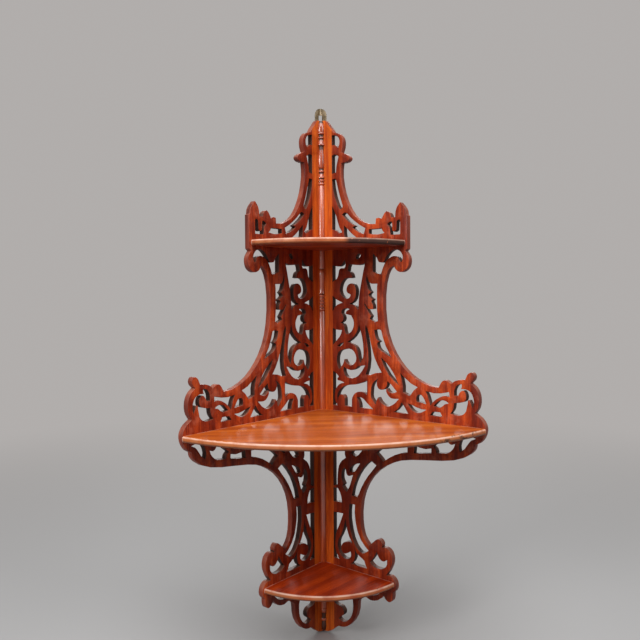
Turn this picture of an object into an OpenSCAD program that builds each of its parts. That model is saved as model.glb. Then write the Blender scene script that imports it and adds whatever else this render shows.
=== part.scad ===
// Corner wall shelf in fret-sawn mahogany: two pierced side panels at a right angle,
// three bow-fronted shelves, a quarter-turned spindle in the corner and a folded brass hanger.
// +Z is up and the front faces -Y. The two wall faces meet on the Z axis, and the origin
// is the top of the slot in the hanger, where the wall hook carries the shelf.

/* [Heights] */
// From the tip of the pendant to the top of the bottom shelf
pendant_h = 157; // [140:1:175]
// From the top of the bottom shelf to the top of the middle shelf
lower_h = 340; // [300:1:380]
// From the top of the middle shelf to the top of the top shelf
upper_h = 359; // [320:1:400]
// From the top of the top shelf to the top of the crest
crest_h = 271; // [245:1:300]

/* [Shelves] */
// Length of the top shelf along each side panel
top_arm = 216; // [195:1:235]
// Length of the middle shelf along each side panel
mid_arm = 391; // [350:1:430]
// Length of the bottom shelf along each side panel
low_arm = 188; // [170:1:206]
// How far the front of the top shelf bows out past a straight line between its tips
top_bow = 57; // [45:1:63]
// How far the front of the middle shelf bows out past a straight line between its tips
mid_bow = 104; // [85:1:114]
// How far the front of the bottom shelf bows out past a straight line between its tips
low_bow = 50; // [38:1:55]
// Thickness of every shelf
shelf_t = 11.5; // [9:0.5:14]
// Rounding of the shelves' front edges
edge_r = 4.5; // [2:0.25:5.5]

/* [Side panels] */
// Thickness of the side panels
panel_t = 12; // [10:0.5:15]
// Width of the plain stile beside the corner
stile_w = 30; // [28:0.5:34]

/* [Corner spindle] */
// Radius of the plain part of the quarter-turned spindle
rod_r = 9.5; // [8:0.25:11]
// Height of the cap, bells, vase and rings at the top of the upper length
upper_turned_h = 143.5; // [125:0.5:160]
// Height of the vase and the rings of the middle length
middle_turned_h = 94; // [80:1:110]
// Plain rod left above the vase of the middle length
middle_plain_h = 39; // [25:1:50]
// Height of the turned drop at the foot of the length under the bottom shelf
drop_h = 53.5; // [45:0.5:62]
// Gap from the tip of the pendant to the foot of the spindle
foot_gap = 2; // [1:0.5:10]

/* [Hanger] */
// Thickness of the brass plate
brass_t = 1.6; // [1.2:0.1:2.5]
// How far each leaf of the folded plate reaches past the joint of the two panels
leaf_lap = 6.6; // [6.4:0.1:9]
// Height of the plate above the wood
leaf_rise = 31; // [28:1:40]
// Depth of the plate below the top of the wood
leaf_drop = 42; // [36:1:50]
// Width of the slot on each leaf
slot_w = 6.5; // [5:0.25:8]
// Brass left above the slot
slot_crown = 15; // [11:0.5:17]
// How far the slot reaches below the top of the wood
slot_drop = 2; // [0.5:0.5:5]

/* [Screws] */
// Shank diameter of the steel wood screws
screw_d = 3.5; // [3:0.25:4]
// Length of the wood screws
screw_len = 32; // [26:1:38]
// Head diameter of the wood screws
screw_head_d = 7; // [6:0.25:8]
// Shank diameter of the brass screws in the hanger
pin_d = 2.8; // [2.5:0.1:3.2]
// Length of the brass screws
pin_len = 9.5; // [7:0.5:9.5]
// Head diameter of the brass screws
pin_head_d = 5.4; // [5:0.1:6]
// Distance from the inner corner, or from a shelf's tip, to the nearest shelf screw
screw_inset = 46; // [38:1:60]
// Screws along each side of the top shelf
top_screws = 3; // [2:1:3]
// Screws along each side of the middle shelf
mid_screws = 4; // [3:1:5]
// Screws along each side of the bottom shelf
low_screws = 2; // [2:1:3]
// Screws that join the two side panels
corner_screws = 6; // [4:1:8]

/* [Fits] */
// Clearance all round a screw in its hole
screw_fit = 0.05; // [0.03:0.01:0.15]
// Clearance round the edge of the plate in its recess
recess_fit = 0.15; // [0.1:0.05:0.4]

/* [Hidden] */
$fn = 48;

mahogany = "#9a3b17";
mahogany_light = "#b04f20";
brass = "#a8924f";
steel = "#7c7b78";

// Heights of the levels, measured from the tip of the pendant
low_z = pendant_h;
mid_z = low_z + lower_h;
top_z = mid_z + upper_h;
wood_z = top_z + crest_h;
slot_z = wood_z + leaf_rise - slot_crown;

// Width of each leaf of the hanger
leaf_w = panel_t + leaf_lap;

// Distance from the wall corner to the inner corner, along the line between the walls
corner_gap = panel_t * sqrt(2);

// Distance of the outermost corner screws from the bottom shelf and from the hanger
corner_margin = 28;
// Distance of the brass screws from the foot of the plate and from the top of the wood
pin_margin = 9;
// Diameter of a screw's blunt tip
screw_tip_d = 0.4;

// Width and depth of a screw's slot, as shares of the width and the height of its head
slot_share = 1 / 6;
slot_depth = 1 / 3;

// How far a cut runs past the surface that it opens
past = 1;
// How far two shapes that make one piece reach into each other
overlap = 0.01;

// Steepest turn of an outline at one point, in degrees
chord_turn = 14;
// Facets round a full shelf disc and round a full turned column
disc_facets = 96;
column_facets = 64;

// Levels and widths at which the fretwork below is drawn. Its points are millimetres
// out from the inner corner and up from a pencil line just above the pendant's tip.
drawn_tip = -26;
drawn_low = 131;
drawn_mid = 471;
drawn_top = 830;
drawn_wood = 1101;
drawn_stile = 30;
drawn_low_arm = 188;
drawn_mid_arm = 391;
drawn_top_arm = 216;

// How much wider than drawn the fretwork beside the stile is, at each shelf
low_stretch = (low_arm - stile_w) / (drawn_low_arm - drawn_stile);
mid_stretch = (mid_arm - stile_w) / (drawn_mid_arm - drawn_stile);
top_stretch = (top_arm - stile_w) / (drawn_top_arm - drawn_stile);

// Height on the board of a drawn height
function lift(z) = lookup(z, [
    [drawn_tip, 0],
    [drawn_low, low_z],
    [drawn_mid, mid_z],
    [drawn_top, top_z],
    [drawn_wood, wood_z]]);

// Width on the board, beside the stile, of one drawn millimetre at a drawn height
function stretch(z) = lookup(z, [
    [drawn_low, low_stretch],
    [drawn_mid, mid_stretch],
    [drawn_top, top_stretch]]);

// Place on the board of a drawn point
function fit(p) =
    p.x <= drawn_stile
        ? [p.x * stile_w / drawn_stile, lift(p.y)]
        : [stile_w + (p.x - drawn_stile) * stretch(p.y), lift(p.y)];

// Point at a share t of the smooth curve from b to c, whose neighbours are a and d
function bend(a, b, c, d, t) =
    b + (c - a) * t / 2
      + (2 * a - 5 * b + 4 * c - d) * t * t / 2
      + (3 * b - a - 3 * c + d) * t * t * t / 2;

// Angle between two directions, in degrees
function turn(u, v) = acos(max(-1, min(1, u * v / max(norm(u) * norm(v), 0.001))));

// Smooth curve through the points of a run, from its first point to just before its last
function curve(p) =
    let (last = len(p) - 1)
    last == 1 ? [p[0]] :
    [for (i = [0:last - 1])
        let (a = i == 0 ? p[0] : p[i - 1],
             d = i == last - 1 ? p[last] : p[i + 2],
             n = max(1, ceil(turn(p[i + 1] - a, d - p[i]) / chord_turn)))
        for (k = [0:n - 1]) bend(a, p[i], p[i + 1], d, k / n)];

// Closed outline made of runs. Each run begins at a corner and ends where the next begins.
function outline(runs) =
    [for (i = [0:len(runs) - 1])
        let (next = runs[(i + 1) % len(runs)][0],
             points = [for (p = concat(runs[i], [next])) fit(p)])
        each curve(points)];

// Outer edge of a panel, from the top of the inner corner round to the pendant's tip
EDGE = [
    [[0, 1101]],
    // Pendant and the C-scroll beside it
    [[0, -26], [12, -24], [25, -17], [35, -8]],
    [[42, -3], [52, -2], [62, 1], [72, 8], [82, 19], [90, 33], [94, 48], [95, 62], [98, 70]],
    // Apron of the bottom shelf, with its knob
    [[107, 76], [112, 80]],
    [[117, 81], [126, 78], [137, 79], [147, 83], [155, 89]],
    [[162, 97], [165, 91], [171, 87], [177, 87], [182, 92], [184, 100]],
    [[184, 109], [189, 113], [192, 122], [190, 132], [184, 139], [176, 142]],
    // Wing of the bottom shelf
    [[168, 141], [175, 151], [181, 164], [183, 177], [180, 188], [174, 195], [165, 198]],
    [[157, 196], [158, 203], [155, 209], [149, 212], [142, 209], [133, 201]],
    // Lower hollow, up to the apron of the middle shelf
    [[124, 193], [116, 201], [109, 212], [105, 226], [103, 243], [103, 262], [106, 285], [112, 305],
     [121, 323], [133, 340], [148, 355], [165, 367], [184, 377], [205, 385], [230, 390], [262, 394],
     [298, 398], [325, 403], [344, 410], [358, 419], [367, 429]],
    [[369, 438], [378, 443], [386, 453], [390, 466], [388, 478], [380, 489]],
    // Wing of the middle shelf, with its two knobs
    [[368, 497], [374, 506], [377, 518], [376, 531], [372, 541], [366, 548]],
    [[359, 553], [365, 559], [367, 566], [364, 572], [358, 573], [352, 568]],
    [[348, 559], [337, 558], [326, 555]],
    [[318, 549], [313, 552], [307, 555], [301, 554], [296, 549]],
    // Upper hollow, up to the lobe beside the top shelf
    [[291, 540], [274, 541], [257, 546], [241, 553], [226, 562], [212, 574], [200, 587], [189, 602],
     [179, 620], [171, 641], [166, 663], [163, 690], [163, 720], [166, 745], [171, 762], [179, 775]],
    [[189, 780], [192, 773], [198, 768], [206, 766], [215, 769], [222, 776], [225, 787], [223, 798]],
    // End post with its lancets
    [[216, 808]], [[221, 812]], [[221, 878]],
    [[218, 880], [217, 888], [212, 897]],
    [[204, 906], [197, 898], [193, 888]],
    [[192, 877]],
    [[183, 877], [181, 883], [177, 888]],
    [[171, 891], [166, 887], [162, 881]],
    [[159, 876], [152, 879]],
    [[145, 878]],
    // Crest, with the ear and the shoulders
    [[144, 867], [128, 868], [113, 873], [100, 880], [88, 890], [77, 905], [68, 922], [61, 940], [57, 956],
     [54, 974], [54, 990]],
    [[56, 1003.5], [63, 1003], [70, 1004], [75.5, 1006.5], [77.5, 1011], [75, 1015.5], [69, 1019.5], [62, 1023]],
    [[55, 1026], [59, 1036], [60, 1048], [57, 1058], [50, 1066], [42, 1069]],
    [[34, 1072], [29, 1080], [22, 1088], [16, 1096]],
    [[11, 1101]]];

// Openings sawn in the crest, above the top shelf
CREST_CUTS = [
    [[[30, 1066], [37, 1065], [44, 1062], [49, 1057], [51, 1050], [50, 1043]],
     [[47, 1037], [42, 1040], [37, 1044]], [[30, 1044]]],
    [[[30, 1022], [36, 1024], [43, 1022]], [[48, 1018], [45, 1008], [42, 997]], [[41, 985]], [[30, 983]]],
    [[[30, 971]], [[40, 972], [43, 962], [47, 947], [52, 931]],
     [[59, 911], [56, 906]], [[51, 905], [43, 918], [37, 934], [32, 954]]],
    [[[57, 893], [63, 897], [70, 895], [80, 885], [90, 877], [103, 868]], [[118, 860]],
     [[114, 848], [103, 852], [92, 858]], [[84, 864]], [[91, 867], [80, 873], [69, 881]]],
    [[[30, 914], [36, 903], [42, 889], [46, 876], [50, 866]], [[57, 856], [50, 854], [43, 858], [37, 862]],
     [[30, 863]]],
    [[[62, 870], [69, 864], [77, 856], [85, 849]], [[95, 842]], [[64, 842], [62, 855]]],
    [[[127, 857]], [[159, 857], [161, 852]], [[166, 847], [150, 845], [138, 846]], [[127, 848]]],
    // Tracery between the lancets of the end post
    [[[173, 864], [178, 868]], [[184, 869], [185, 861], [185, 853], [189, 848]], [[195, 851]],
     [[196, 868], [200, 871], [204, 868]], [[204, 842]], [[181, 842], [180, 850], [178, 858]]]];

// Openings between the middle and the top shelf, beside the stile
SCROLL_CUTS = [
    [[[30, 786], [38, 784], [47, 783], [56, 787]], [[64, 797], [66, 790], [65, 783]],
     [[62, 778], [54, 779], [48, 775], [46, 766], [42, 757]], [[30, 750]]],
    [[[76, 787], [86, 785], [97, 784], [108, 785]],
     [[117, 788], [112, 769], [108, 751], [104, 734], [101, 716], [100, 703]],
     [[99, 690], [93, 696], [86, 700]],
     [[76, 702], [84, 706], [90, 713], [93, 723], [93, 733], [89, 742], [82, 746], [74, 744], [69, 738],
      [68, 730], [72, 725]],
     [[79, 722], [77, 717], [72, 714], [66, 714], [59, 717], [53, 723], [50, 732], [52, 742], [56, 750]],
     [[62, 756], [70, 758], [77, 757]], [[84, 758], [82, 765], [78, 770]], [[72, 773], [73, 780]]],
    [[[94, 797], [94, 802], [98, 807], [103, 808], [106, 804], [103, 800], [99, 796]]],
    [[[30, 720], [35, 716], [42, 711], [50, 708]], [[57, 705], [49, 703], [42, 700], [36, 695]], [[30, 687]]],
    [[[76, 691], [69, 693], [61, 692], [55, 688]], [[54, 682], [58, 678], [60, 671], [57, 665]],
     [[51, 662], [58, 659], [62, 652], [63, 645], [66, 639], [71, 638], [77, 641], [83, 647], [87, 657],
      [86, 668]],
     [[80, 678], [73, 679]], [[65, 681], [67, 686], [71, 689]]],
    [[[30, 650], [38, 647], [47, 646]], [[55, 646], [53, 639], [48, 631], [40, 623]], [[30, 613]]],
    [[[101, 660], [104, 648], [108, 634], [111, 619], [112, 604], [111, 590]],
     [[104, 577], [100, 588], [98, 600], [93, 610], [83, 617]],
     [[70, 621], [79, 626], [88, 634], [95, 643], [99, 652]]],
    [[[43, 611], [47, 615], [53, 618]], [[61, 620], [55, 614], [50, 610]]],
    [[[47, 561], [43, 569], [41, 579], [42, 589], [46, 598], [53, 603], [62, 605], [70, 606.5], [78, 606],
      [85, 603], [90, 597], [93, 589], [92, 581], [88, 576], [82, 572], [75, 572], [68, 575], [64, 579]],
     [[61.5, 584], [60, 578], [57, 572], [52, 566]]],
    [[[60, 568], [59, 560], [61, 553], [66, 547], [74, 544], [83, 544], [92, 547], [100, 552], [108, 561]],
     [[116, 573], [107, 572], [98, 570]], [[93, 566], [87, 563], [80, 561], [73, 562], [66, 564]]],
    [[[30, 557], [36, 554], [41, 550]], [[46, 545], [42, 541]], [[43, 537], [52, 536]],
     [[61, 533], [52, 531], [44, 526], [38, 518], [35, 508], [34, 498], [37, 489]], [[43, 482]], [[30, 482]]],
    [[[121, 542]], [[121, 511], [114, 515], [106, 517], [97, 516], [89, 512], [84, 506], [81, 498]],
     [[81, 483]], [[62, 483], [62, 496], [60, 503], [55, 507], [49, 506], [45, 501]],
     [[42, 494], [42, 503], [45, 512], [52, 520], [61, 526], [73, 529], [90, 531], [107, 536]]],
    [[[102, 483], [101, 491], [98, 498]], [[94, 504], [103, 505], [112, 502], [121, 494]], [[136, 483]]],
    [[[118, 658], [117, 649], [119, 636], [122, 620], [124, 604], [125, 586], [123, 568]],
     [[118, 554], [127, 553], [135, 556], [143, 559]],
     [[158, 561], [149, 574], [141, 589], [136, 603], [131, 620], [127, 637], [123, 650]]]];

// Openings between the two stems and under the outer sweep
STEM_CUTS = [
    [[[137, 807]], [[137, 769], [147, 765]], [[157, 763], [161, 774], [166, 784], [172, 791], [181, 797],
      [191, 799], [200, 795]],
     [[204, 786]], [[208, 787], [210, 796], [207, 804], [200, 810], [190, 812], [180, 808], [171, 799]],
     [[164, 787], [152, 788], [147, 797]]],
    [[[121, 764], [124, 755], [128, 747]], [[133, 744]], [[148, 744], [147, 735], [147, 715], [147, 690]],
     [[149, 667], [142, 665], [136, 667]], [[128, 671]], [[132, 677], [127, 683], [121, 692]],
     [[114, 703], [119, 700], [124, 693]], [[130, 691]], [[138, 692], [137, 700], [133, 707]],
     [[137, 712], [130, 716], [126, 721]], [[132, 727], [126, 732], [123, 740], [120, 750]]],
    [[[140, 648], [149, 650]], [[157, 648], [161, 634], [168, 616], [176, 603]],
     [[182, 593], [170, 599], [158, 605], [150, 612]], [[147, 621]], [[153, 625], [146, 629], [142, 637]]],
    [[[156, 592], [167, 584], [178, 573], [188, 560]], [[200, 538], [188, 546], [175, 558], [164, 574]]],
    [[[203, 563], [215, 553], [229, 543]], [[244, 537], [235, 530]], [[226, 518], [219, 520]],
     [[210, 524], [210, 537], [207, 550]]],
    [[[150, 548], [143, 544], [136, 537], [132, 527], [131, 516], [132, 506]], [[143, 493], [145, 502]],
     [[149, 509], [154, 501], [162, 495], [172, 492], [182, 495], [191, 501]],
     [[200, 510], [190, 509], [180, 510], [173, 516], [169, 523]], [[170, 529], [175, 523], [184, 520]],
     [[195, 524], [188, 531], [181, 538]], [[172, 544], [171, 535], [166, 528], [158, 525], [150, 527], [146, 534],
      [146, 542]]]];

// Openings in the wing of the middle shelf
WING_CUTS = [
    [[[207, 504], [211, 498], [216, 491]], [[222, 482]], [[187, 482], [195, 487], [202, 495]]],
    [[[221, 503], [227, 494], [235, 488], [243, 486], [253, 488]], [[264, 494], [253, 494], [240, 497], [230, 501]]],
    [[[242, 508], [241, 514], [243, 520], [249, 523], [255, 520], [260, 513]], [[264, 505], [253, 507]]],
    [[[262, 531], [280, 528], [297, 529]], [[314, 533]], [[315, 524], [305, 525], [295, 522], [286, 517], [279, 511]],
     [[273, 503], [270, 513], [267, 522]]],
    [[[280, 503], [286, 509], [292, 514], [301, 516], [309, 514]], [[313, 511], [305, 509], [299, 504], [292, 501]]],
    [[[272, 484]], [[278, 492]], [[295, 492]], [[299, 484]]],
    [[[325, 513], [335, 514], [343, 516], [349, 520], [350.5, 527], [349, 533], [345, 538], [340, 537], [336, 533]],
     [[333, 527]], [[325, 527], [325, 535], [328, 543], [334, 549]], [[341, 550], [341, 545]],
     [[339, 541], [348, 541], [357, 538], [363, 531], [366, 521], [366, 513]], [[363, 507], [361, 513], [358.5, 518]],
     [[357, 521]], [[354, 521], [353.5, 515], [352, 509], [350, 500], [344, 493], [336, 490], [327, 490]],
     [[317, 492], [321, 497], [324, 504]]]];

// Openings in the apron under the middle shelf
APRON_CUTS = [
    [[[370, 450], [361, 446], [354, 438], [347, 428]], [[337, 420], [335, 430], [338, 441]], [[345, 452], [358, 453]]],
    [[[327, 435], [320, 432], [314, 434]], [[310, 439], [300, 437], [291, 433]], [[279, 424], [285, 419]],
     [[287, 412], [298, 413], [308, 414], [317, 419], [324, 427]]],
    [[[237, 420], [249, 417], [262, 416]], [[275, 419]], [[275, 410], [255, 407]], [[235, 404]]],
    [[[144, 392], [153, 400], [165, 407], [180, 412], [198, 415]], [[220, 416]],
     [[220, 404], [204, 400], [189, 394], [175, 386]], [[161, 376], [155, 383]]],
    [[[122, 393], [129, 396], [136, 401], [148, 411], [160, 418]], [[172, 422], [157, 425], [142, 420], [130, 409]]],
    [[[78, 382], [86, 378], [94, 379], [101, 385]], [[107, 392], [110, 401], [106, 411], [96, 416], [85, 412],
      [82, 403]], [[90, 401], [86, 394]]],
    [[[190, 427], [204, 431], [219, 430], [232, 433]], [[244, 441], [228, 444], [211, 441]]]];

// Openings between the bottom and the middle shelf
LOWER_CUTS = [
    [[[30, 305]], [[41, 309], [41, 322], [42, 336], [45, 351], [53, 363]], [[64, 371], [61, 378], [62, 388]],
     [[66, 400], [57, 409], [44, 412]], [[30, 410]]],
    [[[30, 301]], [[42, 301], [47, 294], [51, 284]], [[53, 272]], [[30, 270]]],
    [[[30, 247]], [[56, 248], [51, 235], [45, 221], [39, 209], [36, 198], [34, 184], [34, 171], [37, 158]],
     [[46, 146]], [[30, 146]]],
    [[[62, 238], [64, 227], [67, 214], [72, 201]], [[81, 188], [73, 190], [64, 188], [56, 184], [51, 177],
      [51, 169], [56, 162], [64, 162]], [[76, 169], [77, 161], [73, 154], [65, 151], [56, 152], [48, 158],
      [43, 167], [41, 178], [44, 190], [50, 200], [56, 213], [60, 228]]],
    [[[74, 273]], [[88, 273], [87, 255], [89, 238], [94, 218], [103, 201], [113, 190]],
     [[123, 182], [114, 175], [106, 173], [97, 177], [89, 185], [81, 199], [76, 216], [72, 238], [72, 257]]],
    [[[86, 179], [91, 171], [99, 165]], [[112, 158], [115, 150]], [[119, 143]],
     [[76, 143], [83, 149], [87, 159], [88, 169]]],
    [[[144, 184], [147, 177], [152, 171], [158, 168], [164, 169]], [[170, 174], [170, 165], [166, 157],
      [159, 152], [150, 150], [140, 151], [132, 154]], [[127, 159], [133, 166], [139, 175]]],
    [[[61, 350], [64, 344], [65, 338], [69, 333], [75, 333]], [[83, 337], [79, 325], [74, 311]],
     [[66, 297], [59, 302]], [[54, 308], [58, 313], [53, 321], [52, 331], [54, 342]]],
    [[[102, 364], [93, 362], [84, 358], [77, 352]], [[74, 344], [80, 342], [87, 344], [92, 350], [97, 357]]],
    [[[131, 374], [137, 370]], [[144, 366], [134, 354], [123, 341], [113, 327], [104, 311]],
     [[95, 291]], [[80, 291], [83, 306], [89, 322], [97, 338], [107, 352], [118, 364]]]];

// Openings under the bottom shelf
PENDANT_CUTS = [
    [[[30, 48], [36, 43.5], [43, 43], [50, 41.5], [55, 37], [57, 31], [55, 25], [50, 20.5], [46, 17.5]],
     [[42, 14], [51, 10], [61, 12], [70, 19], [77, 29], [81, 41], [82, 54], [80, 67], [73, 76], [61, 80],
      [48, 77], [38, 70]], [[30, 62]]],
    [[[112, 93], [123, 89], [136, 90], [148, 96]], [[156, 104], [143, 107], [127, 104]]]];

CUTS = concat(CREST_CUTS, SCROLL_CUTS, STEM_CUTS, WING_CUTS, APRON_CUTS, LOWER_CUTS, PENDANT_CUTS);

// Radius at which the turned outlines below are drawn, and their drawn heights. They are
// written in runs, like the fretwork, as points of radius and height above their foot.
drawn_rod = 9.5;
drawn_upper = 143.5;
drawn_middle = 94;
drawn_drop = 53.5;

// Two rings, a bell, a ring over a cove, the vase, a bell, a ring and the cap
UPPER_TURNING = [
    [[9.5, 0]],
    [[7.6, 0.7]], [[7.6, 3.3]], [[8.6, 3.7], [10.1, 6.1], [8.6, 8.3]],
    [[7.6, 8.7]], [[7.6, 11.1]], [[8.6, 11.5], [10.1, 13.7], [8.6, 15.9]],
    [[7.6, 16.2]], [[7.6, 18.5]],
    [[10, 18.9], [9.9, 20.9], [9, 24], [8, 26.5]],
    [[7.4, 28.5]], [[7.4, 31.3]], [[8.6, 31.6], [9.4, 33.5], [8.6, 35.5]],
    [[7.6, 35.8], [7.5, 38.5], [8.2, 40.9]],
    [[9.2, 42], [10, 48.5], [10.1, 56.5], [9.4, 67.5], [8, 78.5], [6.9, 85]],
    [[6.8, 87]], [[7.4, 87.5]], [[7.4, 89.6]],
    [[10.1, 89.9], [10, 92.5], [9, 96], [8, 99]],
    [[7.2, 102]], [[7.2, 104.2]], [[8.4, 104.5], [9.3, 106.3], [8.4, 107.9]],
    [[7.2, 108.2]], [[7.2, 113]], [[9.5, 113.3], [10.2, 115.6], [9.9, 117.6]],
    [[9.6, 118.5], [9.6, 125.5], [9.2, 131.5], [8.2, 136.5], [6.4, 141], [4, 143.1]],
    [[2.5, 143.5]]];

// Five rings and a slender vase, waisted above its foot
MIDDLE_TURNING = [
    [[9.5, 0]],
    [[7.8, 0.6]], [[7.8, 2.4]], [[8.7, 2.7], [10.1, 5], [8.7, 7.3]],
    [[7.8, 7.6]], [[7.8, 9.8]], [[8.7, 10.1], [10.1, 12.4], [8.7, 14.7]],
    [[7.8, 15]], [[7.8, 17.2]], [[8.7, 17.5], [10.1, 19.8], [8.7, 22.1]],
    [[7.8, 22.4]], [[7.8, 24.6]], [[8.7, 24.9], [10.1, 27.2], [8.7, 29.5]],
    [[7.8, 29.8]], [[7.8, 32]], [[8.7, 32.3], [10.1, 34.6], [8.7, 36.9]],
    [[7.8, 37.2]], [[7.8, 39]],
    [[9.6, 39.4], [9.1, 42], [8.2, 49], [8.3, 58], [9.1, 68], [10, 79], [9.7, 86], [8.7, 91]],
    [[7.8, 92.2]], [[7.8, 93.4]], [[9.5, 94]]];

// Drop: a slender bulb at the foot, a bead, a waist that widens upwards and a ring
DROP_TURNING = [
    [[1.5, 0], [4, 0.8], [6, 3.2], [7.2, 7], [7.5, 11.5], [7.1, 16], [6.4, 20.5]],
    [[6.2, 22]], [[7.3, 22.4], [8.5, 25.7], [7.3, 29]],
    [[6.4, 29.6], [6.6, 34], [7.4, 40]],
    [[8.7, 44.5]], [[7.6, 45]], [[7.6, 47]], [[8.7, 47.3], [10, 49.4], [8.7, 51.5]],
    [[7.6, 51.8]], [[7.6, 53]], [[9.5, 53.5]]];

// The shelves, from the bottom up: height, length along a panel, bow and screws along a panel
LOW = [low_z, low_arm, low_bow, low_screws];
MID = [mid_z, mid_arm, mid_bow, mid_screws];
TOP = [top_z, top_arm, top_bow, top_screws];

// Puts what is drawn on the right panel in place. There X runs out along the wall from
// the corner, Y = 0 is the wall face, and Z is measured from the tip of the pendant.
module on_right() {
    translate([0, 0, -slot_z]) rotate([0, 0, -45]) children();
}

// Puts what is drawn on the left panel in place, as a mirror image of the right one
module on_left() {
    mirror([1, 0, 0]) on_right() children();
}

// Sawn face of a panel, whose inner edge is the inner corner
module fret_face() {
    difference() {
        polygon(outline(EDGE));
        for (cut = CUTS) polygon(outline(cut));
    }
}

// Panel board. With a lap it also covers the end of the other panel.
module fret_board(lap) {
    rotate([90, 0, 0]) linear_extrude(panel_t) {
        translate([panel_t, 0]) fret_face();
        if (lap) square([panel_t + overlap, wood_z]);
    }
}

// Countersunk screw that points along -Y, with its head flush with the wall face
module screw(d, long, head_d, grow = 0, slot = true) {
    head_h = (head_d - d) / 2;
    tip_h = d;
    rotate([90, 0, 0]) difference() {
        union() {
            cylinder(h = long - tip_h + grow, d = d + 2 * grow);
            translate([0, 0, long - tip_h + grow])
                cylinder(h = tip_h, d1 = d + 2 * grow, d2 = screw_tip_d + 2 * grow);
            cylinder(h = head_h, d1 = head_d + 2 * grow, d2 = d + 2 * grow);
        }
        if (slot) translate([-head_d, -head_d * slot_share / 2, -past])
            cube([2 * head_d, head_d * slot_share, past + head_h * slot_depth]);
    }
}

// Screws, or the holes for them, that join the panels. They are drawn on the left panel.
module corner_row(grow, slot) {
    first = low_z - shelf_t - corner_margin;
    last = wood_z - leaf_drop - corner_margin;
    for (i = [0:corner_screws - 1])
        translate([panel_t / 2, 0, first + i * (last - first) / (corner_screws - 1)])
            screw(screw_d, screw_len, screw_head_d, grow, slot);
}

// Screws, or the holes for them, along one side of a shelf
module shelf_row(shelf, grow, slot) {
    first = panel_t + screw_inset;
    step = (shelf[1] - 2 * screw_inset) / (shelf[3] - 1);
    for (i = [0:shelf[3] - 1])
        translate([first + i * step, 0, shelf[0] - shelf_t / 2])
            screw(screw_d, screw_len, screw_head_d, grow, slot);
}

// Screws, or the holes for them, in one leaf of the hanger
module leaf_row(grow, slot) {
    for (z = [wood_z - leaf_drop + pin_margin, wood_z - pin_margin])
        translate([panel_t + leaf_lap / 2, 0, z]) screw(pin_d, pin_len, pin_head_d, grow, slot);
}

// One leaf of the hanger, grown all round for its recess
module leaf(grow = 0) {
    bottom = wood_z - leaf_drop - grow;
    side = leaf_w + grow;
    shoulder = wood_z + leaf_rise - leaf_w;
    rotate([90, 0, 0]) linear_extrude(brass_t) {
        translate([0, bottom]) square([side, shoulder - bottom]);
        intersection() {
            translate([0, shoulder]) circle(r = side);
            translate([0, shoulder - overlap]) square([side, side]);
        }
    }
}

// Slot in one leaf
module leaf_slot() {
    rotate([90, 0, 0]) translate([-past, wood_z - slot_drop, -past])
        cube([slot_w + past, slot_z - wood_z + slot_drop, brass_t + 2 * past]);
}

// Recess for the hanger in the wall faces of both panels
module hanger_recess() {
    on_left() leaf(recess_fit);
    on_right() leaf(recess_fit);
}

module left_fret_panel() {
    color(mahogany) difference() {
        on_left() fret_board(true);
        hanger_recess();
        on_left() corner_row(screw_fit, false);
        on_left() leaf_row(screw_fit, false);
        for (shelf = [LOW, MID, TOP]) on_left() shelf_row(shelf, screw_fit, false);
    }
}

module right_fret_panel() {
    color(mahogany) difference() {
        on_right() fret_board(false);
        hanger_recess();
        on_left() corner_row(screw_fit, false);
        on_right() leaf_row(screw_fit, false);
        for (shelf = [LOW, MID, TOP]) on_right() shelf_row(shelf, screw_fit, false);
    }
}

// A shelf: the part of a round-edged disc that lies between the two panels
module shelf_board(shelf) {
    half_chord = shelf[1] / sqrt(2);
    radius = (half_chord * half_chord + shelf[2] * shelf[2]) / (2 * shelf[2]);
    centre_y = radius - shelf[2] - half_chord - corner_gap;
    difference() {
        intersection() {
            translate([0, centre_y, shelf[0] - shelf_t - slot_z]) rotate_extrude($fn = disc_facets) {
                square([radius - edge_r, shelf_t]);
                translate([0, edge_r]) square([radius, shelf_t - 2 * edge_r]);
                for (y = [edge_r, shelf_t - edge_r]) translate([radius - edge_r, y]) circle(r = edge_r);
            }
            translate([0, -corner_gap, shelf[0] - shelf_t - slot_z - past]) linear_extrude(shelf_t + 2 * past)
                polygon([[0, 0], [half_chord, -half_chord], [half_chord, -2 * shelf[1]],
                         [-half_chord, -2 * shelf[1]], [-half_chord, -half_chord]]);
        }
        on_left() shelf_row(shelf, screw_fit, false);
        on_right() shelf_row(shelf, screw_fit, false);
    }
}

module top_shelf() {
    color(mahogany_light) shelf_board(TOP);
}

module middle_shelf() {
    color(mahogany_light) shelf_board(MID);
}

module bottom_shelf() {
    color(mahogany_light) shelf_board(LOW);
}

// Outline of a turned part: its runs, the height of its foot, its height and its drawn height
function turned(runs, foot, high, drawn_high) =
    [for (i = [0:len(runs) - 1])
        let (next = i == len(runs) - 1 ? [] : [runs[i + 1][0]],
             points = [for (p = concat(runs[i], next)) [p.x * rod_r / drawn_rod, foot + p.y * high / drawn_high]])
        each (len(points) == 1 ? points : curve(points))];

// Turns an outline, given as points of radius and height, into the quarter of a column
// that fills the inner corner
module quarter_turned(points) {
    bottom = points[0].y;
    top = points[len(points) - 1].y;
    translate([0, -corner_gap, -slot_z]) rotate([0, 0, 225]) rotate_extrude(angle = 90, $fn = column_facets)
        polygon(concat([[0, bottom]], points, [[0, top]]));
}

module upper_spindle() {
    foot = wood_z - upper_turned_h;
    color(mahogany_light) quarter_turned(concat(
        [[rod_r, top_z]],
        turned(UPPER_TURNING, foot, upper_turned_h, drawn_upper)));
}

module middle_spindle() {
    under = top_z - shelf_t;
    foot = under - middle_plain_h - middle_turned_h;
    color(mahogany_light) quarter_turned(concat(
        [[rod_r, mid_z]],
        turned(MIDDLE_TURNING, foot, middle_turned_h, drawn_middle),
        [[rod_r, under]]));
}

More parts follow.
